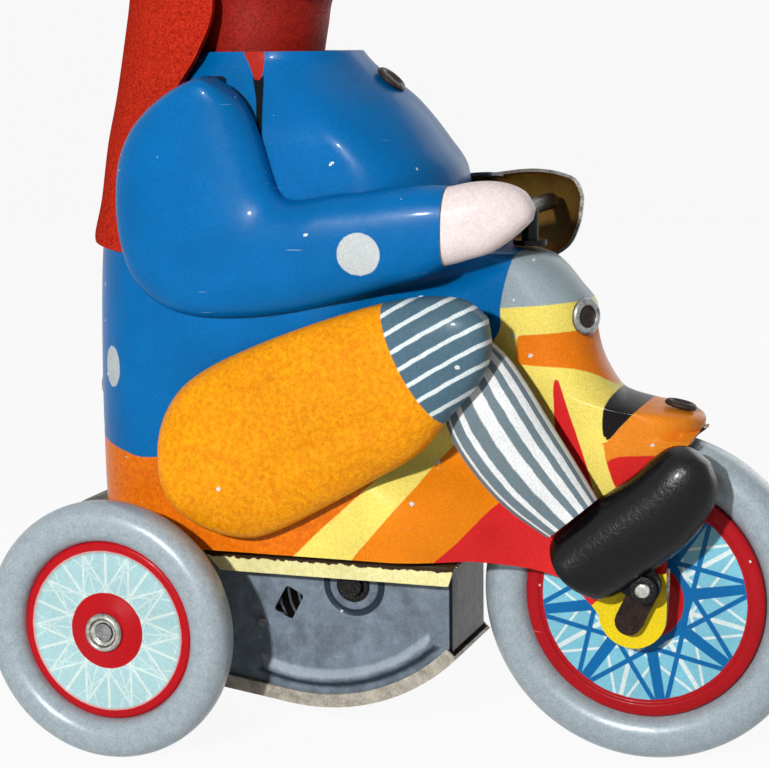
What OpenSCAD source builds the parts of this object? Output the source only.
/* [Wheels] */
// Radius of the front wheel over its tyre
front_r = 25.5; // [20:0.5:30]
// Radius of each rear wheel over its tyre
rear_r = 20.2; // [16:0.2:24]
// Distance from the rear axle to the front axle
wheelbase = 79; // [74:0.5:86]
// Half thickness of the front tyre
front_half = 4.2; // [3.2:0.1:4.8]
// Half thickness of each rear tyre
rear_half = 3.5; // [2.8:0.1:4]
// Height of the rolled tyre wall, from its bead to its tread, on a front wheel
front_wall = 7.4; // [6:0.1:9]
// Height of the rolled tyre wall on a rear wheel
rear_wall = 6.2; // [5:0.1:7.5]
// Distance between the middle planes of the rear wheels
track = 49; // [46:0.5:52]
// Radius of the rear axle
rear_axle_r = 1.4; // [1:0.1:1.8]
// Radius of the front axle
front_axle_r = 1.25; // [1:0.05:1.6]

/* [Body] */
// Half width of the rider's coat and seat
coat_half = 16.6; // [14:0.2:17]
// Half width of the front fairing and of the fork
fork_half = 8; // [7:0.1:9]
// Height of the bottom edge of the body, where it sits on the base
base_top = 31.8; // [30:0.1:34]
// Height of the collar
collar_top = 108; // [100:0.5:116]
// Thickness of the pressed tin
tin = 0.5; // [0.4:0.05:0.7]
// Radius of the rounded fork end about the axle
fork_end_r = 5.2; // [4.8:0.1:6]

/* [Legs] */
// Height of the hip pivot
hip_z = 47; // [45:0.5:49]
// Hip pivot to knee pivot
thigh_len = 35.8; // [34:0.1:38]
// Knee pivot to pedal pin
shin_len = 46.1; // [45:0.1:48]
// Throw of each crank
crank_r = 4.4; // [3.6:0.1:4.8]
// Angle of the right crank above the level
crank_angle = 65; // [0:5:180]
// Radius of the pedal pins
pedal_pin_r = 1.2; // [0.8:0.1:1.6]
// Radius of the hip and knee pivots
pivot_r = 1.5; // [1.2:0.1:2]

/* [Rider] */
// Height of the rider from the floor to the top of the hood
rider_top = 153; // [146:1:160]
// Radius of the neck
neck_r = 9.3; // [8.5:0.1:11]
// Largest radius of the head
head_r = 17; // [15:0.5:18]
// Thickness of the felt
felt = 1.2; // [0.8:0.1:1.8]
// Radius of the handlebar
bar_r = 1.3; // [1:0.1:1.8]

/* [Clockwork] */
// Half width of the clockwork over its side plates
motor_half = 8.5; // [8:0.1:9.5]
// Thickness of the side plates
plate_t = 0.6; // [0.5:0.1:1]
// Module of every gear
gear_m = 0.6; // [0.5:0.05:0.6]
// Teeth on the great gear
great_teeth = 44; // [40:1:46]
// Teeth on the pinion that the great gear drives
pinion_teeth = 12; // [11:1:14]
// Teeth on the second gear
second_teeth = 34; // [30:1:36]
// Teeth on the gear of the rear axle
axle_teeth = 30; // [26:1:32]
// Teeth on the pinion of the escape arbor
escape_teeth = 10; // [10:1:12]
// Points on the star wheel
star_points = 9; // [7:1:12]
// Thickness of each gear
gear_t = 1.2; // [0.8:0.1:1.4]
// Radius of the arbors
arbor_r = 0.9; // [0.7:0.05:1.2]
// Radius of the winding arbor
wind_r = 1.6; // [1.4:0.1:2]
// Turns of the mainspring
spring_turns = 7; // [4:1:8]
// Thickness of the mainspring strip
strip_t = 0.4; // [0.3:0.05:0.5]

/* [Clearances] */
// Radial clearance of every running fit
run = 0.05; // [0.02:0.01:0.1]
// Gap between pieces that pass each other
gap = 0.4; // [0.3:0.05:0.6]
// Backlash of the gear teeth, on the pitch circle
backlash = 0.12; // [0.08:0.01:0.16]

/* [Hidden] */
$fn = 48;

// Axles: the wheels together are centred on the origin, front wheel towards +X
rear_x = (rear_r - wheelbase - front_r) / 2;
front_x = rear_x + wheelbase;
rear_hub = [rear_x, rear_r];
front_hub = [front_x, front_r];
track_half = track / 2;

// Arbors of the clockwork, each at its true gear distance from the last
great_r = gear_m * great_teeth / 2;
wind_hub = [-7.8, 25.8];
wind_to_second = gear_m * (great_teeth + pinion_teeth) / 2;
second_to_axle = gear_m * (second_teeth + axle_teeth) / 2;
second_to_escape = gear_m * (second_teeth + escape_teeth) / 2;
to_rear = rear_hub - wind_hub;
second_bend = acos((wind_to_second ^ 2 + to_rear * to_rear - second_to_axle ^ 2)
    / (2 * wind_to_second * norm(to_rear)));
second_dir = atan2(to_rear[1], to_rear[0]) + second_bend;
second_hub = wind_hub + wind_to_second * [cos(second_dir), sin(second_dir)];
escape_dir = -35;
escape_hub = second_hub + second_to_escape * [cos(escape_dir), sin(escape_dir)];
pallet_hub = escape_hub + [7, -0.2];

// Layers across the clockwork, from the right side plate to the left one
plate_in = motor_half - plate_t;
spring_y = [-plate_in + tin + 0.1, -1.4];
great_y = -gear_t / 2;
ratchet_y = gear_t / 2 + 0.3;
second_y = 2.4;
star_y = 5;

// Legs: the cranks stand opposite each other, and each pair of links closes on its pin
hip = [-22.2, hip_z];
right_crank = crank_angle;
left_crank = crank_angle + 180;
function pin_at(a) = front_hub + crank_r * [cos(a), sin(a)];
function thigh_at(a) = let (d = pin_at(a) - hip)
    atan2(d[1], d[0]) + acos((thigh_len ^ 2 + d * d - shin_len ^ 2) / (2 * thigh_len * norm(d)));
function knee_at(a) = hip + thigh_len * [cos(thigh_at(a)), sin(thigh_at(a))];
function shin_at(a) = let (d = pin_at(a) - knee_at(a)) atan2(d[1], d[0]);

// Depths across the machine, measured out from its middle plane
arm_rim = coat_half + gap;
thigh_rim = coat_half + 3 * gap + tin;
shin_rim = 12.4;
crank_in = fork_half + gap + 0.3;
crank_t = 1.2;
shoe_rim = crank_in + crank_t + 0.9;
axle_end = track_half + 2.4;

function mix(a, b, t) = a + (b - a) * t;
function step(a, b, v) = let (t = min(max((v - a) / (b - a), 0), 1)) t * t * (3 - 2 * t);
function unit(v) = v / max(norm(v), 0.000001);

// A point of the smooth curve through the points p, at fraction f of its stretch k
function curve_at(p, k, f) = let (
    a = p[max(k - 1, 0)],
    b = p[k],
    c = p[k + 1],
    d = p[min(k + 2, len(p) - 1)])
    (2 * b + (c - a) * f + (2 * a - 5 * b + 4 * c - d) * f ^ 2 + (3 * b - a - 3 * c + d) * f ^ 3) / 2;

// The smooth curve through the points p, as n + 1 points
function curve(p, n) = [for (i = [0:n]) let (u = i * (len(p) - 1) / n, k = min(floor(u), len(p) - 2))
    curve_at(p, k, u - k)];

// Points on an arc about the centre c
function arc(c, r, a0, a1, n) = [for (i = [0:n]) let (a = mix(a0, a1, i / n)) c + r * [cos(a), sin(a)]];

// The inner face of a pressed sheet: each point of the grid g moves t along its own normal.
// Points on the rim columns keep their depth, so that the rim stays flat.
function inward(g, t) = let (m = len(g) - 1, n = len(g[0]) - 1)
    [for (i = [0:m]) [for (j = [0:n]) let (
        du = g[min(i + 1, m)][j] - g[max(i - 1, 0)][j],
        dv = g[i][min(j + 1, n)] - g[i][max(j - 1, 0)],
        raw = cross(du, dv),
        nrm = (j == 0 || j == n) ? unit([raw[0], 0, raw[2]]) : unit(raw))
        g[i][j] + t * nrm]];

// A closed sheet of tin or felt between an outer grid of points and its inner face
module sheet(outer, t) {
    m = len(outer);
    n = len(outer[0]);
    inner = inward(outer, t);
    size = m * n;
    quads = [for (i = [0:m - 2]) for (j = [0:n - 2]) let (a = i * n + j)
        each [[a, a + n, a + n + 1], [a, a + n + 1, a + 1],
            [size + a, size + a + n + 1, size + a + n], [size + a, size + a + 1, size + a + n + 1]]];
    sides = [for (i = [0:m - 2]) let (a = i * n, b = i * n + n - 1)
        each [[a, size + a, size + a + n], [a, size + a + n, a + n],
            [b, size + b + n, size + b], [b, b + n, size + b + n]]];
    ends = [for (j = [0:n - 2]) let (a = j, b = (m - 1) * n + j)
        each [[a, a + 1, size + a + 1], [a, size + a + 1, size + a],
            [b, size + b + 1, b + 1], [b, size + b, size + b + 1]]];
    polyhedron([for (r = outer) each r, for (r = inner) each r], concat(quads, sides, ends));
}

// A pressed half shell between two rails, as a grid: it bulges from its rim to the depth w
function bulge(rail_a, rail_b, w, rim, n, q) = [for (i = [0:len(rail_a) - 1])
    [for (j = [0:n]) let (
        a = 180 * j / n,
        s = sign(cos(a)) * abs(cos(a)) ^ (2 / q),
        p = mix(rail_a[i], rail_b[i], (1 - s) / 2),
        h = w[i] * abs(sin(a)) ^ (2 / q))
        [p[0], -rim[i] - h, p[1]]]];

// A plain plate across the machine, from y0 to y1, with its outline drawn in X and Z
module plate(y0, y1) {
    translate([0, y1, 0])
    rotate([90, 0, 0])
    linear_extrude(y1 - y0)
    children();
}

// A rod across the machine
module rod(c, y0, y1, r) {
    translate([c[0], y1, c[1]])
    rotate([90, 0, 0])
    cylinder(h = y1 - y0, r = r);
}

// A turned piece: a profile of radius and y, revolved about the line across the machine at c
module turned(c) {
    translate([c[0], 0, c[1]])
    rotate([-90, 0, 0])
    rotate_extrude()
    children();
}

module mirrored() {
    mirror([0, 1, 0])
    children();
}

// A leg piece, drawn along +X from its pivot, set at its angle
module swung(pivot, angle) {
    translate([pivot[0], 0, pivot[1]])
    rotate([0, -angle, 0])
    children();
}

// Body: two pressed halves that hold coat, seat, fairing and fork in one
back_edge = [[31, -51.6], [42, -51.8], [58, -51.8], [74, -51.3], [82, -50.3], [89.5, -47.9],
    [96.5, -44.6], [102, -41], [105.8, -37.8], [108, -35]];
front_edge = [[31, 41.3], [44, 41.6], [48.4, 42.3], [50.6, 44.6], [53.1, 45.5], [54.5, 43.6], [55.2, 39.5],
    [56.4, 34.6], [58, 32.2], [62, 29.8], [66, 28.7], [70, 28.6], [73, 26], [76, 23.8], [77.6, 21],
    [78.4, 16.4], [79.2, 9.4], [84, 8.4], [90.3, 7.6], [94.6, 4.7], [98.6, 1.6], [101.5, -1.2], [105.3, -6.3],
    [108, -9]];
body_levels = [31.8, 36, 41, 46, 49.4, 51, 52.1, 53.4, 54.6, 55.4, 56.6, 59, 63, 68, 72, 75, 77.4, 78.5, 79.6,
    84, 90, 95, 99, 102.5, 105.5, 108];
nose_floor = 51.5;
collar_half = 12.4;
function arch(x) = 4.6 * step(-30.5, -41, x);
// The coat is wide above the legs; below, it narrows early enough to let the shins pass
function taper(z) = -12 * step(38, 50, z) * (1 - step(72, 80, z)) + 12 * step(77.5, 79.6, z);
function body_depth(x, z) = let (from = taper(z))
    mix(mix(coat_half, fork_half, step(from, from + 24, x)), collar_half, step(94, collar_top, z));
function body_row(level) = let (
    x0 = lookup(level, back_edge),
    x1 = lookup(level, front_edge),
    r0 = min(13, (x1 - x0) * 0.45),
    r1 = level > 78 ? min(13, (x1 - x0) * 0.45) : 7.5,
    open = level < nose_floor ? 1 : 0,
    back = [for (i = [0:5]) [x0 + r0 * (1 - cos(18 * i)), sin(18 * i)]],
    side = [for (i = [1:5]) [mix(x0 + r0, x1 - r1, i / 6), 1]],
    nose = [for (i = [0:5]) [x1 - r1 * (1 - cos(90 - 18 * i)), max(cos(18 * i), open * (1 - 0.01 * i))]])
    [for (p = concat(back, side, nose)) let (
        share = (level - base_top) / (collar_top - base_top),
        z = level + arch(p[0]) * (1 - share) ^ 3)
        [p[0], -p[1] * body_depth(p[0], z), z]];

// Outline of one fork leg, from the body down round the axle
fork_end = front_hub - [0.65, 1.2];
fork_outline = concat([[41.3, 33.5], [18.5, 33.5], [18.5, 30.8], [24.6, 29.3], [27.4, 27.7], [29.4, 25.8]],
    arc(fork_end, fork_end_r, 183, 372, 20), [[41.6, 31]]);

bush_wall = 0.7;
module body_half() {
    sheet([for (level = body_levels) body_row(level)], tin);
    difference() {
        plate(-fork_half - 0.1, -fork_half + tin + 0.1)
        polygon(fork_outline);
        rod(front_hub, -fork_half - 1, -fork_half + tin + 1, front_axle_r + run + bush_wall + run);
    }
}

module body_shell_right() {
    color("#0070B8")
    body_half();
}

module body_shell_left() {
    color("#0070B8")
    mirrored()
    body_half();
}

// Folded tabs that close the seam of the two body halves, each turned over on the right one:
// the place of its middle, its slope along the seam and its turn towards the side
tab_places = [[[-3.3, -0.6, 104], -37, 0], [[29.1, -2.2, 68.9], -86, -17], [[41.5, -1, 55.7], -12, 0],
    [[-52.4, -0.8, 56], 90, 0]];
tab_len = 3.8;
tab_wide = 4.4;
tab_edge = 0.4;
module seam_tabs() {
    color("#8F8A80")
    for (p = tab_places)
        translate(p[0])
        rotate([0, 0, p[2]])
        rotate([0, -p[1], 0])
        translate([-tab_len / 2, 0, 0])
        plate(-tab_wide / 2, tab_wide / 2)
        polygon(concat(arc([tab_edge, 0], tab_edge, 270, 90, 6),
            arc([tab_len - tab_edge, 0], tab_edge, 90, -90, 6)));
}

// Base: a flat plate with turned-down flanges, a slot for the clockwork and a raised rear deck
base_half = 13;
base_front = 10.2;
flange_drop = 3.6;
deck_low = 31;
deck_high = 36.3;
deck_back = -58;
deck_front = -46;
deck_half = 12.5;
deck_corner = 6;
slot_half = motor_half + 0.5;
slot_back = -37;
slot_front = 8.8;

// The deck is pressed like a tray turned over: its back corners and its edge are rounded
module deck() {
    turns = [for (a = [0:10:80]) a];
    edge = concat([[deck_front, deck_half]], [for (a = turns)
        [deck_back + deck_corner * (1 - sin(a)), deck_half - deck_corner * (1 - cos(a))]]);
    height = concat([deck_high - deck_low], [for (a = turns) (deck_high - deck_low) * cos(a) ^ 0.5]);
    rotate([-90, 0, 0])
    sheet(bulge([for (p = edge) [p[0], -p[1]]], edge, height, [for (p = edge) deck_low], 14, 4), tin);
}
module base_plate() {
    color("#E8DC7A")
    difference() {
        union() {
            translate([deck_front - 1.6, -base_half, base_top - 2 * tin])
            cube([base_front - deck_front + 1.6, 2 * base_half, tin]);
            for (side = [-1, 1])
                plate(side * (base_half - tin / 2) - tin / 2, side * (base_half - tin / 2) + tin / 2)
                polygon([[-31.8, base_top - 1.6 * tin], [base_front - 0.1, base_top - 1.6 * tin],
                    [base_front - 1.3, base_top - flange_drop], [-28.4, base_top - flange_drop]]);
            deck();
        }
        translate([slot_back, -slot_half, base_top - 3])
        cube([slot_front - slot_back, 2 * slot_half, 4]);
    }
}

// Bushes that carry the front axle in the fork ends
module fork_bushes() {
    color("#B9BDBE")
    for (side = [-1, 1])
        turned(front_hub)
        translate([front_axle_r + run, side * (fork_half - tin / 2) - 0.5])
        square([bush_wall, 1]);
}

// Pivot pins of the thighs: each stands out of the body side, with a head inside the thigh
pin_head = 0.8;
hip_head = thigh_rim + tin + 0.2;
module hip_pins() {
    color("#B9BDBE")
    for (side = [0, 1])
        mirror([0, side, 0]) {
            rod(hip, -hip_head, -coat_half, pivot_r);
            rod(hip, -hip_head - pin_head, -hip_head, pivot_r + 1);
        }
}

// Arms: pressed half shells from the shoulder to the fingertips, turned in towards the bar
arm_out = [[-27.4, 104.3], [-31.6, 102.3], [-35.4, 99.5], [-38.7, 95.9], [-40.7, 90.5], [-41.1, 84.4],
    [-40.2, 78.6], [-38.2, 73.6], [-34.5, 70.3], [-29.5, 68.7], [-23, 68.5], [-15, 69.4], [-7.5, 70.7],
    [0, 72.6], [6.4, 74.6], [9.6, 76.5]];
arm_in = [[-25.2, 103.8], [-23.1, 102.8], [-21.3, 101], [-19.8, 98.6], [-18.5, 95.4], [-17.6, 92.4],
    [-16.8, 89.8], [-16, 87.7], [-14.8, 86.5], [-13, 86.2], [-10.6, 86.5], [-6.8, 87], [-2.4, 87.6],
    [2.2, 88.2], [6.6, 88.6], [9.9, 88.3]];
hand_low = [[9, 76.9], [12.5, 77.6], [15.6, 78.5], [18.2, 80], [20.3, 81.8], [22, 83]];
hand_top = [[9, 88.2], [11.8, 88.8], [15, 89.2], [18.2, 89], [20.8, 88], [22.2, 85.4]];
function arm_turn(x) = arm_rim - 0.133 * max(0, x + 7);
arm_rows = 22;
module arm_half() {
    lo = curve(arm_out, arm_rows);
    hi = curve(arm_in, arm_rows);
    sheet(bulge(hi, lo,
        [for (i = [0:arm_rows]) 5.6 * min(1, sqrt(0.1 + i / 5)) * (1 - 0.012 * i)],
        [for (p = hi) arm_turn(p[0])], 10, 2.5), tin);
}
module hand_half() {
    lo = curve(hand_low, 8);
    hi = curve(hand_top, 8);
    sheet(bulge(hi, lo, [for (i = [0:8]) 4 * sqrt(1.05 - (i / 8) ^ 2)],
        [for (p = hi) arm_turn(p[0])], 10, 2.3), tin);
}
shoulder = [-26.3, 103.6];
shoulder_r = 0.9;
shoulder_out = 2.5;
module shoulder_tab() {
    rod(shoulder, -arm_rim - shoulder_out, -body_depth(shoulder[0], shoulder[1] - shoulder_r) - 0.1, shoulder_r);
}
module one_arm() {
    color("#0070B8")
    union() {
        arm_half();
        shoulder_tab();
    }
    color("#E9CFCB")
    hand_half();
}
module arm_right() {
    one_arm();
}
module arm_left() {
    mirrored()
    one_arm();
}

// Handlebar: a cross bar in the hands, on a stem that stands on the fairing
bar_at = [18.2, 84.4];
bar_half = 12.4;
bar_foot = 78.7;
bar_flange = 0.8;
module handlebar() {
    color("#26221E") {
        rod(bar_at, -bar_half, bar_half, bar_r);
        translate([bar_at[0], 0, bar_foot])
        cylinder(h = bar_at[1] - bar_foot, r = bar_r);
        translate([bar_at[0], 0, bar_foot])
        cylinder(h = bar_flange, r = 2 * bar_r);
    }
}

// Head: an egg-shaped tin shell in a face half and a back half
head_x = -24.9;
chin_z = collar_top + 6;
head_half_h = (rider_top - felt - 0.3 - chin_z) / 2;
head_z = chin_z + head_half_h;
function egg(r, h, a) = [max(r * cos(a) * (1 - 0.05 * sin(a)), 0), h * sin(a)];
module head_shell() {
    translate([head_x, 0, head_z])
    difference() {
        rotate_extrude()
        polygon([for (a = [-90:10:90]) egg(head_r, head_half_h, a)]);
        rotate_extrude()
        polygon([for (a = [-90:10:90]) egg(head_r - tin, head_half_h - tin, a)]);
    }
}
nose_r = 2;
module head_front() {
    color("#EBCDB8") {
        intersection() {
            head_shell();
            translate([head_x, -30, 100])
            cube([40, 60, 60]);
        }
        translate([head_x + head_r + 0.6 * nose_r, 0, head_z - 0.6])
        sphere(r = nose_r, $fn = 32);
    }
}
module head_back() {
    color("#A01A12")
    intersection() {
        head_shell();
        translate([head_x - 40, -30, 100])
        cube([40, 60, 60]);
    }
}

// Hood: a felt cap over the head, open at the face, with a neck that tucks into the collar
hood_in = head_r + 0.3;
face_half = 12.6;
function hood_side(grow) = concat(
    [for (a = [90:-10:-40]) egg(hood_in + grow, head_half_h + 0.3 + grow, a)],
    [[neck_r + grow - felt, chin_z - head_z - 0.2], [neck_r + grow - felt, collar_top - 5 - head_z]]);
module hood() {
    color("#C2231A")
    translate([head_x, 0, head_z])
    difference() {
        rotate_extrude()
        polygon(concat(hood_side(felt), [for (p = [len(hood_side(0)) - 1:-1:0]) hood_side(0)[p]]));
        translate([2, 0, 0])
        rotate([0, 90, 0])
        rotate([0, 0, 90])
        linear_extrude(30)
        polygon([for (a = [0:15:345]) [face_half * cos(a), (face_half + 2) * sin(a) - 1]]);
    }
}

// Tail of the hood: a felt cape that hangs down the back in three shallow folds
tail_levels = [132, 129, 126, 122, 118, 114, 109, 104, 99, 94, 89, 84, 80, 78];
tail_back = [[78, -53], [80, -53], [85, -51.7], [94, -50.1], [101, -48.8], [108, -47.6], [116, -46.2],
    [120, -45.6], [132, -45.3]];
tail_mid = [[80, -37.5], [85, -37], [94, -35.5], [101, -32], [108, -30], [116, -28.3], [122, -26], [126, head_x]];
tail_half = [[80, 18.3], [85, 18.3], [94, 17.2], [101, 15.3], [108, 14.3], [116, 14.5], [122, 18], [126, 19.8],
    [132, 20.4]];
tail_wrap = [[78, 44], [80, 50], [94, 54], [99, 66], [104, 84], [108, 91], [116, 94], [124, 72], [132, 48]];
module hood_tail() {
    color("#B81E14")
    sheet([for (z = tail_levels) let (
        mid = lookup(z, tail_mid),
        depth = mid - lookup(z, tail_back),
        half = lookup(z, tail_half),
        wrap = lookup(z, tail_wrap))
        [for (j = [0:16]) let (
            a = wrap * (j / 8 - 1),
            fold = 0.5 * cos(a * 6) * step(112, 84, z))
            [mid - (depth + fold) * cos(a), (half + fold) * sin(a), z]]], felt);
}

// Clockwork frame: the side plates follow the bottom of the case, which is an arc and a straight
case_hub = [-14, 38.2];
case_r = 30.5;
case_front = 7.7;
case_back = -47.5;
case_rise = 7.8;
plate_top = 38.6;
front_angle = -acos((case_front - case_hub[0]) / case_r);
back_angle = -90 - case_rise;
function case_curve(r) = arc(case_hub, r, back_angle, front_angle, 18);
function case_tail(r, x) = let (p = case_hub + r * [cos(back_angle), sin(back_angle)])
    [x, p[1] + (p[0] - x) * tan(case_rise)];
under_base = base_top - 2 * tin - 0.1;
plate_outline = concat([[case_front, plate_top], [slot_back + 0.6, plate_top], [slot_back + 0.6, under_base],
    [case_back, under_base], [case_back, 14], case_tail(case_r, -40)], case_curve(case_r));
pillar_places = [[3.9, 15.6], [3.4, 36.4], [-31.4, 34], [-33.6, 10.9]];
pillar_r = 1.3;
window_at = [-18.8, 22.2];
window_size = [3.2, 4.4];
rib_r = case_r - 1.7;
rib_wide = 2.4;
rib_high = 0.35;

module motor_plate() {
    difference() {
        union() {
            plate(-motor_half, -plate_in)
            polygon(plate_outline);
            plate(-motor_half - rib_high, -motor_half)
            polygon(concat(arc(case_hub, rib_r, -107, -50, 16), arc(case_hub, rib_r - rib_wide, -50, -107, 16)));
        }
        for (hub = [second_hub, escape_hub, pallet_hub])
            rod(hub, -motor_half - 1, -plate_in + 1, arbor_r * 0.8 + run);
        rod(wind_hub, -motor_half - 1, -plate_in + 1, wind_r + run);
        rod(rear_hub, -motor_half - 1, -plate_in + 1, rear_axle_r + run);
        plate(-motor_half - 1, -plate_in + 1)
        translate(window_at)
        rotate(-25)
        square(window_size, center = true);
    }
}
module motor_plate_right() {
    color("#7F93A3")
    motor_plate();
}
module motor_plate_left() {
    color("#7F93A3")
    mirrored()
    motor_plate();
}
module motor_pillars() {
    color("#9AA0A3")
    for (p = pillar_places)
        rod(p, -plate_in, plate_in, pillar_r);
}

// Bottom cover: a curved strip whose flanges lap the side plates
cover_r = case_r + 1.9;
cover_lap = 2.1;
cover_back = -34;
module motor_bottom_cover() {
    color("#CFC7B4") {
        plate(-motor_half - 2 * tin, motor_half + 2 * tin)
        polygon(concat(case_curve(cover_r), [for (i = [18:-1:0]) case_curve(cover_r - tin)[i]],
            [case_tail(cover_r - tin, cover_back), case_tail(cover_r, cover_back)]));
        for (side = [-1, 1])
            plate(side * (motor_half + 1.5 * tin) - tin / 2, side * (motor_half + 1.5 * tin) + tin / 2)
            polygon(concat(case_curve(cover_r - tin), [for (i = [18:-1:0]) case_curve(cover_r - cover_lap)[i]],
                [case_tail(cover_r - cover_lap, cover_back), case_tail(cover_r - tin, cover_back)]));
    }
}

// Front cover: a folded plate that closes the clockwork behind the front wheel
front_low = 16.4;
ear_len = 2.2;
ear_low = 18;
ear_high = 27;
module motor_front_cover() {
    color("#1B1B1D") {
        translate([case_front + 0.05, -motor_half, front_low])
        cube([tin, 2 * motor_half, base_top - 2 * tin - front_low]);
        for (side = [-1, 1])
            translate([case_front - ear_len, side * (plate_in - tin / 2) - tin / 2, ear_low])
            cube([ear_len + 0.1, tin, ear_high - ear_low]);
    }
}

// Embossed rings with their bushes, where the winding arbor runs in the side plates
ring_r = 3.9;
ring_wide = 1.2;
ring_high = 0.4;
bush_high = 0.9;
module arbor_bushes() {
    color("#5E6E7C")
    for (side = [0, 1])
        mirror([0, side, 0])
        turned(wind_hub) {
            translate([ring_r, -motor_half - ring_high])
            square([ring_wide, ring_high]);
            translate([wind_r + run, -motor_half - bush_high])
            square([bush_wall + 0.1, bush_high]);
        }
}

// Mainspring: one unbroken spiral strip, hooked on the front pillar
spring_in = wind_r + gap + 0.4;
spring_out = norm(pillar_places[0] - wind_hub) - pillar_r - strip_t / 2 - 0.1;
spring_end = atan2(pillar_places[0][1] - wind_hub[1], pillar_places[0][0] - wind_hub[0]);
function spiral(r) = [for (i = [0:spring_turns * 24]) let (
    f = i / (spring_turns * 24),
    a = spring_end - 360 * spring_turns * (1 - f))
    (mix(spring_in, spring_out, f) + r) * [cos(a), sin(a)]];
module mainspring() {
    color("#6F7478")
    plate(spring_y[0], spring_y[1])
    translate(wind_hub) {
        inner = spiral(-strip_t / 2);
        polygon(concat(spiral(strip_t / 2), [for (i = [len(inner) - 1:-1:0]) inner[i]]));
    }
}
spring_pitch = (spring_out - spring_in) / spring_turns;
echo(str("least gap between turns of the mainspring: ", spring_pitch - strip_t, " mm"));

// Involute gears
function roll(r, base) = let (a = acos(min(base / r, 1))) tan(a) * 180 / PI - a;
function gear_outline(teeth, turn) = let (
    pitch = gear_m * teeth / 2,
    base = pitch * cos(20),
    tip = pitch + 0.85 * gear_m,
    root = pitch - 1.15 * gear_m,
    half = 90 / teeth - backlash / 4 / pitch * 180 / PI,
    radii = [for (k = [0:3]) mix(max(root, base), tip, k / 3)],
    flank = [for (r = concat([root], radii)) [r, half + roll(pitch, base) - roll(max(r, base), base)]])
    [for (k = [0:teeth - 1]) let (c = turn + 360 * k / teeth)
        each concat([for (p = flank) p[0] * [cos(c - p[1]), sin(c - p[1])]],
            [for (i = [len(flank) - 1:-1:0]) flank[i][0] * [cos(c + flank[i][1]), sin(c + flank[i][1])]])];

// The turn of a driven gear that puts its teeth between those of its driver
function meshed(at, to, turn, teeth, next) = let (line = atan2(to[1] - at[1], to[0] - at[0]))
    line + 180 + 180 / next - (turn - line) * teeth / next;
axle_turn = atan2(second_hub[1] - rear_r, second_hub[0] - rear_x);
second_turn = meshed(rear_hub, second_hub, axle_turn, axle_teeth, second_teeth);
pinion_turn = atan2(wind_hub[1] - second_hub[1], wind_hub[0] - second_hub[0]);
great_turn = meshed(second_hub, wind_hub, pinion_turn, pinion_teeth, great_teeth);
escape_turn = meshed(second_hub, escape_hub, second_turn, second_teeth, escape_teeth);

module gear(hub, y, t, teeth, turn, bore) {
    difference() {
        plate(y, y + t)
        translate(hub)
        polygon(gear_outline(teeth, turn));
        rod(hub, y - 1, y + t + 1, bore);
    }
}

module gear_holes(hub, y, t, r, hole) {
    for (a = [45:90:315])
        rod(hub + r * [cos(a), sin(a)], y - 1, y + t + 1, hole);
}

// Great gear: loose on the winding arbor, driven through the click
module great_gear() {
    color("#C9A24A")
    difference() {
        gear(wind_hub, great_y, gear_t, great_teeth, great_turn, wind_r + run);
        gear_holes(wind_hub, great_y, gear_t, great_r * 0.66, 2);
    }
}

// Ratchet wheel with slanted teeth, and the click that drops against them
ratchet_r = 4.6;
ratchet_teeth = 12;
ratchet_t = 0.9;
module ratchet_wheel() {
    color("#9AA0A3")
    difference() {
        plate(ratchet_y, ratchet_y + ratchet_t)
        translate(wind_hub)
        polygon([for (k = [0:ratchet_teeth - 1]) let (a = 360 * k / ratchet_teeth)
            each [ratchet_r * [cos(a), sin(a)], (ratchet_r - 0.9) * [cos(a + 2), sin(a + 2)]]]);
        rod(wind_hub, ratchet_y - 1, ratchet_y + ratchet_t + 1, wind_r);
    }
}
click_at = wind_hub + [-3.2, 8.4];
module click() {
    color("#8C6B2E") {
        rod(click_at, gear_t / 2, ratchet_y + ratchet_t + 0.4, 0.7);
        difference() {
            plate(ratchet_y, ratchet_y + ratchet_t)
            polygon([click_at + [-1.3, -0.6], click_at + [-1, 1.2], click_at + [1.2, 1],
                wind_hub + (ratchet_r + 0.35) * [cos(84), sin(84)],
                wind_hub + (ratchet_r + 0.3) * [cos(98), sin(98)]]);
            rod(click_at, ratchet_y - 1, ratchet_y + ratchet_t + 1, 0.7);
        }
    }
}

// Winding arbor: it runs through both plates and ends in a square for the key
key_from = motor_half + 1.6;
key_to = 25.5;
module winding_arbor() {
    color("#A8ADB0") {
        rod(wind_hub, -motor_half - 1.3, key_from + 3, wind_r);
        rod(wind_hub, great_y - 0.6, great_y - 0.1, wind_r + 0.5);
    }
}

// Key: a tube on the end of the arbor, with two rounded wings
wing_r = 3.6;
module winding_key() {
    color("#A8ADB0")
    difference() {
        union() {
            rod(wind_hub, key_from, key_to - 3, wind_r + 0.8);
            difference() {
                translate([wind_hub[0], 0, wind_hub[1]])
                translate([0, 0, -0.6])
                linear_extrude(1.2)
                for (side = [-1, 1])
                    hull() {
                        translate([side * wing_r, key_to - wing_r])
                        circle(wing_r);
                        translate([0, key_to - wing_r - 2])
                        circle(1.2);
                    }
                for (side = [-1, 1])
                    translate([wind_hub[0] + side * (wing_r + 0.8), key_to - wing_r, wind_hub[1] - 1])
                    cylinder(h = 2, r = 1.7);
            }
        }
        rod(wind_hub, key_from - 1, key_from + 3 + run, wind_r + run);
    }
}

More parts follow.
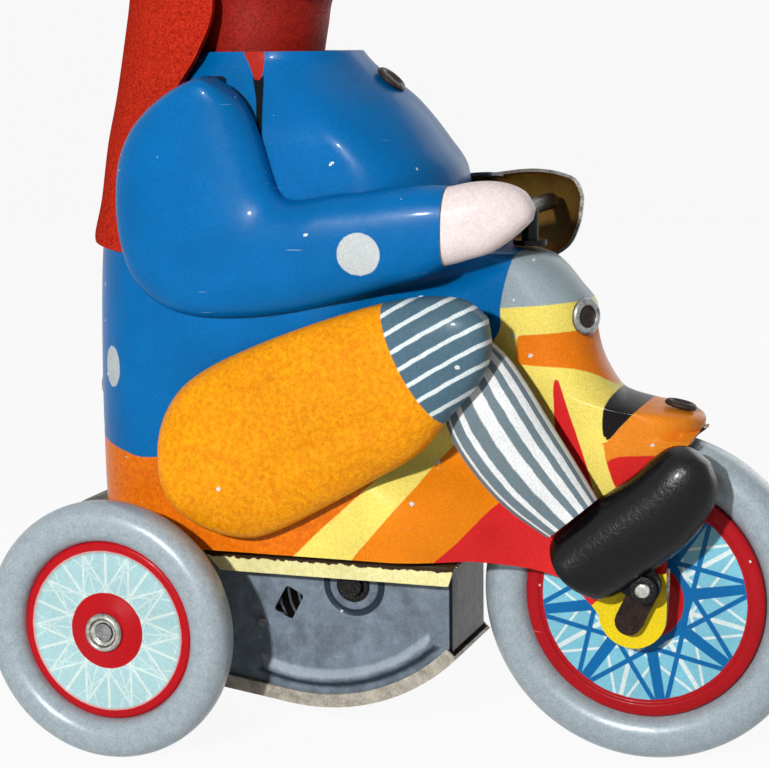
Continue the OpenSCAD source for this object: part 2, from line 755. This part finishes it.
// Second arbor with its pinion, and the gear that drives the rear axle
module second_arbor() {
    color("#A8ADB0") {
        rod(second_hub, -motor_half - 0.8, motor_half + 0.8, arbor_r * 0.8);
        rod(second_hub, -plate_in + 0.3, great_y - 0.2, arbor_r);
        rod(second_hub, gear_t / 2 + 0.2, plate_in - 0.3, arbor_r);
        plate(great_y - 0.2, gear_t / 2 + 0.2)
        translate(second_hub)
        polygon(gear_outline(pinion_teeth, pinion_turn));
    }
}
module second_gear() {
    color("#C9A24A")
    difference() {
        gear(second_hub, second_y, gear_t, second_teeth, second_turn, arbor_r);
        gear_holes(second_hub, second_y, gear_t, 6.4, 1.8);
    }
}
module axle_gear() {
    color("#C9A24A")
    gear(rear_hub, second_y - 0.1, gear_t + 0.2, axle_teeth, axle_turn, rear_axle_r);
}

// Escape arbor with its pinion and star wheel, and the pallet that rocks against the star
star_r = 3.3;
star_t = 0.9;
module escape_arbor() {
    color("#A8ADB0") {
        rod(escape_hub, -motor_half, motor_half, arbor_r * 0.8);
        rod(escape_hub, -plate_in + 0.3, second_y - 0.2, arbor_r);
        rod(escape_hub, second_y + gear_t + 0.2, plate_in - 0.3, arbor_r);
        plate(second_y - 0.2, second_y + gear_t + 0.2)
        translate(escape_hub)
        polygon(gear_outline(escape_teeth, escape_turn));
    }
}
module star_wheel() {
    color("#C9A24A")
    difference() {
        plate(star_y, star_y + star_t)
        translate(escape_hub)
        polygon([for (k = [0:star_points - 1]) let (a = 360 * k / star_points)
            each [star_r * [cos(a), sin(a)], star_r * 0.55 * [cos(a + 180 / star_points),
                sin(a + 180 / star_points)]]]);
        rod(escape_hub, star_y - 1, star_y + star_t + 1, arbor_r);
    }
}
module pallet() {
    color("#8C6B2E") {
        rod(pallet_hub, -motor_half, motor_half, arbor_r * 0.8);
        plate(star_y - 0.2, star_y + star_t + 0.2)
        translate(pallet_hub)
        polygon(concat(arc([0, 0], 1.9, -110, 110, 10),
            [[-3.1, 2.9], [-3.3, 2.2], [-1.7, 0.7], [-1.7, -0.7], [-3.3, -2.2], [-3.1, -2.9]]));
    }
}

// Rear axle: it runs in the side plates and carries both wheels
module rear_axle() {
    color("#A8ADB0")
    rod(rear_hub, -axle_end, axle_end, rear_axle_r);
}

// Tyres are rolled hollow from tin: a round tread that turns in to a bead on each side
function tyre_loop(r, wall, half) = [for (a = [0:15:345])
    [r - wall / 2 + wall / 2 * cos(a), half * sin(a)]];
module tyre(hub, r, wall, half, y) {
    turned(hub)
    translate([0, y])
    difference() {
        polygon(tyre_loop(r, wall, half));
        translate([tin, 0])
        polygon(tyre_loop(r - 2 * tin, wall - 2 * tin, half - tin));
    }
}
module rear_tyre_right() {
    color("#9AA7AD")
    tyre(rear_hub, rear_r, rear_wall, rear_half, -track_half);
}
module rear_tyre_left() {
    color("#9AA7AD")
    mirrored()
    tyre(rear_hub, rear_r, rear_wall, rear_half, -track_half);
}

// Discs: a printed face with a raised ring and a domed hub, and a rolled edge in the tyre's bead
function disc_profile(rim, bore, dome, ring, face, back) = [
    [bore, face + 0.9], [dome * 0.5, face + 0.9], [dome, face + 0.1], [ring - 1.8, face],
    [ring - 1.5, face + 0.4], [ring - 0.4, face + 0.4], [rim, face], [rim, back], [bore, back]];
rear_bead = rear_r - rear_wall;
rear_face = track_half + 0.9;
rear_dome = 6.2;
module rear_disc() {
    turned(rear_hub)
    mirror([0, 1])
    polygon(disc_profile(rear_bead - 0.02, rear_axle_r, rear_dome, rear_bead - 0.1, rear_face, rear_face - 1.6));
}
module rear_disc_right() {
    color("#CFE6E4")
    rear_disc();
}
module rear_disc_left() {
    color("#CFE6E4")
    mirrored()
    rear_disc();
}

// Nickel eyelets that hold the discs on the axle
module rear_eyelets() {
    color("#C9CCCB")
    for (side = [0, 1])
        mirror([0, side, 0])
        turned(rear_hub)
        polygon([[rear_axle_r, -rear_face - 0.9], [3, -rear_face - 0.9], [3.1, -rear_face - 1.4],
            [2.7, -rear_face - 2], [2.3, -rear_face - 2], [2, -rear_face - 1.3], [rear_axle_r, -rear_face - 1.3]]);
}

// Front wheel: a hollow tyre between two printed discs, turning in the fork
front_bead = front_r - front_wall;
front_face = front_half - 1.1;
front_dome = 5;
module front_axle() {
    color("#A8ADB0")
    rod(front_hub, -crank_in - crank_t, crank_in + crank_t, front_axle_r);
}
module front_tyre() {
    color("#9AA7AD")
    tyre(front_hub, front_r, front_wall, front_half, 0);
}
module front_disc() {
    turned(front_hub)
    mirror([0, 1])
    polygon(disc_profile(front_bead + 0.2, front_axle_r, front_dome, front_bead - 0.1, front_face,
        front_face - 1.2));
}
module front_disc_right() {
    color("#BFE3EA")
    front_disc();
}
module front_disc_left() {
    color("#BFE3EA")
    mirrored()
    front_disc();
}

// Cranks: flat arms on the ends of the front axle, opposite each other
crank_half = 2.1;
crank_tail = 2;
module crank(a) {
    pin = pin_at(a);
    difference() {
        plate(-crank_in - crank_t, -crank_in)
        polygon(concat(arc(pin, crank_half, a - 90, a + 90, 8),
            arc(front_hub - crank_tail * [cos(a), sin(a)], crank_half, a + 90, a + 270, 8)));
        rod(front_hub, -crank_in - crank_t - 1, -crank_in + 1, front_axle_r);
        rod(pin, -crank_in - crank_t - 1, -crank_in + 1, pedal_pin_r + run);
    }
}
module crank_right() {
    color("#4A3026")
    crank(right_crank);
}
module crank_left() {
    color("#4A3026")
    mirrored()
    crank(left_crank);
}

// Thighs: pressed half shells drawn along +X from the hip, with straps that carry both pivots
thigh_top = [[-12.3, 1.4], [-11.2, 6.2], [-7.4, 11.3], [-1, 14.2], [8, 14.1], [18, 13], [27, 11.5],
    [34, 9.6], [40, 7], [43.4, 4.4], [44.9, 1.2]];
thigh_low = [[-12.3, -1.4], [-11.6, -4.4], [-8.6, -8.6], [-3, -11.9], [6, -12.6], [16, -12.5], [26, -12.1],
    [33, -10], [39.4, -7.1], [43, -4.3], [44.9, -1.2]];
thigh_rows = 20;
thigh_bulge = 5.2;
module strap(x, y, top, low, r, bore) {
    difference() {
        plate(y - tin, y)
        hull() {
            translate([x, top - r])
            circle(r);
            translate([x, low + r])
            circle(r);
        }
        rod([x, 0], y - tin - 1, y + 1, bore);
    }
}
module thigh() {
    hi = curve(thigh_top, thigh_rows);
    lo = curve(thigh_low, thigh_rows);
    sheet(bulge(hi, lo, [for (i = [0:thigh_rows]) thigh_bulge * (1 - abs(2 * i / thigh_rows - 1) ^ 4 * 0.86)],
        [for (p = hi) thigh_rim], 12, 3), tin);
    strap(0, -thigh_rim - 0.1, 14, -12, 2.6, pivot_r + run);
    strap(thigh_len, -thigh_rim - 0.1, 8.7, -8.7, 2.6, pivot_r);
}
module thigh_right() {
    color("#FF9A0C")
    swung(hip, thigh_at(right_crank))
    thigh();
}
module thigh_left() {
    color("#FF9A0C")
    mirrored()
    swung(hip, thigh_at(left_crank))
    thigh();
}

// Knee pins: each is fast in its thigh, and the shin turns on it
module knee_pin(a) {
    knee = knee_at(a);
    rod(knee, -thigh_rim - tin - 0.7, -shin_rim - 1.9, pivot_r);
    rod(knee, -shin_rim - 1.9, -shin_rim - 1.1, pivot_r + 1);
}
module knee_pin_right() {
    color("#B9BDBE")
    knee_pin(right_crank);
}
module knee_pin_left() {
    color("#B9BDBE")
    mirrored()
    knee_pin(left_crank);
}

// Shins: pressed half shells drawn along +X from the knee, striped lengthwise
shin_top = [[4.6, 5.6], [9, 6.2], [14, 5.8], [20, 4.9], [26, 4.1], [31.6, 3.3]];
shin_low = [[4.6, -5.6], [9, -7.6], [14, -9], [20, -9.2], [26, -8.1], [31.6, -6.4]];
shin_rows = 12;
module shin() {
    hi = curve(shin_top, shin_rows);
    lo = curve(shin_low, shin_rows);
    sheet(bulge(hi, lo, [for (i = [0:shin_rows]) mix(3.4, 4.2, sin(180 * i / shin_rows))],
        [for (p = hi) shin_rim], 10, 2.4), tin);
    difference() {
        plate(-shin_rim - 3, -shin_rim - 3 + 1)
        hull() {
            circle(5.6);
            translate([7, -0.8])
            circle(5.4);
        }
        rod([0, 0], -shin_rim - 5, -shin_rim, pivot_r + run);
    }
}
module shin_right() {
    color("#B9C3C4")
    swung(knee_at(right_crank), shin_at(right_crank))
    shin();
}
module shin_left() {
    color("#B9C3C4")
    mirrored()
    swung(knee_at(left_crank), shin_at(left_crank))
    shin();
}

// Shoes: pressed from heel to toe, with a lug below the sole for the pedal pin
shoe_top = [[34.6, -6.9], [32.6, -4.6], [32, 0], [32.1, 5], [32, 10], [32.2, 14.4], [33.4, 18], [36.6, 19.7]];
shoe_sole = [[38.6, -7.3], [42.2, -6.2], [43.1, -3], [43.5, 1], [44.6, 6], [44.4, 11.4], [42.6, 16.4],
    [38.6, 19.7]];
shoe_rows = 14;
lug_r = 2.4;
module shoe() {
    hi = curve(shoe_top, shoe_rows);
    lo = curve(shoe_sole, shoe_rows);
    sheet(bulge(hi, lo, [for (i = [0:shoe_rows]) 6 * (1 - abs(2 * i / shoe_rows - 1) ^ 4 * 0.8)],
        [for (p = hi) shoe_rim], 10, 2.5), tin);
    difference() {
        plate(-shoe_rim - 1.2, -shoe_rim - 0.2)
        hull() {
            translate([shin_len, 0])
            circle(lug_r);
            translate([36, 0])
            circle(5);
        }
        rod([shin_len, 0], -shoe_rim - 3, -shoe_rim + 2, pedal_pin_r);
    }
}
module shoe_right() {
    color("#1A1A1C")
    swung(knee_at(right_crank), shin_at(right_crank))
    shoe();
}
module shoe_left() {
    color("#1A1A1C")
    mirrored()
    swung(knee_at(left_crank), shin_at(left_crank))
    shoe();
}

// Pedal pins: riveted in the shoe lug, each stops just short of the crank it follows
module pedal_pin(a) {
    pin = pin_at(a);
    rod(pin, -shoe_rim - 1.2 - 0.1, -crank_in - crank_t - gap, pedal_pin_r);
    rod(pin, -shoe_rim - 2, -shoe_rim - 1.2, pedal_pin_r + 0.9);
    rod(pin, -shoe_rim - 2.6, -shoe_rim - 2, pedal_pin_r);
}
module pedal_pin_right() {
    color("#B9BDBE")
    pedal_pin(right_crank);
}
module pedal_pin_left() {
    color("#B9BDBE")
    mirrored()
    pedal_pin(left_crank);
}

body_shell_right();
body_shell_left();
seam_tabs();
base_plate();
fork_bushes();
hip_pins();
arm_right();
arm_left();
handlebar();
head_front();
head_back();
hood();
hood_tail();
motor_plate_right();
motor_plate_left();
motor_pillars();
motor_bottom_cover();
motor_front_cover();
arbor_bushes();
mainspring();
winding_arbor();
ratchet_wheel();
winding_key();
great_gear();
click();
second_arbor();
second_gear();
escape_arbor();
star_wheel();
pallet();
rear_axle();
axle_gear();
rear_tyre_right();
rear_tyre_left();
rear_disc_right();
rear_disc_left();
rear_eyelets();
front_axle();
front_tyre();
front_disc_right();
front_disc_left();
crank_right();
crank_left();
thigh_right();
thigh_left();
knee_pin_right();
knee_pin_left();
shin_right();
shin_left();
shoe_right();
shoe_left();
pedal_pin_right();
pedal_pin_left();
